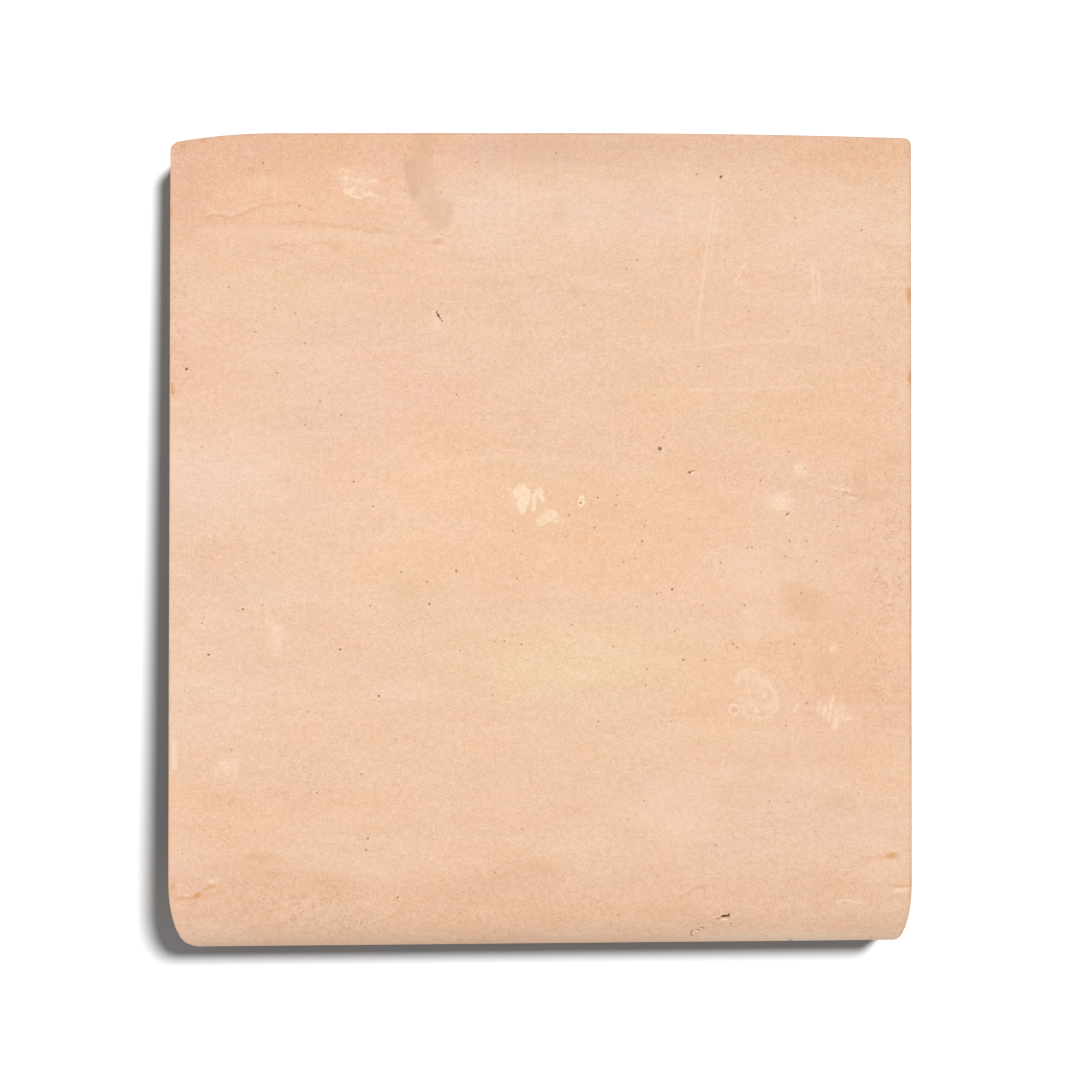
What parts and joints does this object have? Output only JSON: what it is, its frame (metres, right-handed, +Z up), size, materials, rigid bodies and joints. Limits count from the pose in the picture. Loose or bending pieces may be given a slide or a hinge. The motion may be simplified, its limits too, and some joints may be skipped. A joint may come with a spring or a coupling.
{
  "type": "terracotta stair coping tile",
  "caption": "Hand-moulded terracotta tile for a stair edge: a flat tread slab whose front turns down into a rounded nose.",
  "frame": {"origin": "centre of the floor area that the resting tile covers", "axes": "+Y from the rounded nose to the back edge, +X along the nose, +Z up, with the tile at rest on a level floor, so that its tread slopes down 3.4 degrees towards the back"},
  "size_m": [0.3, 0.3336, 0.042],
  "materials": {
    "terracotta": "unglazed, matt, pale peach fired clay with lime and smoke marks"
  },
  "bodies": {
    "root": {"coping_tile": "terracotta"}
  },
  "joints": []
}
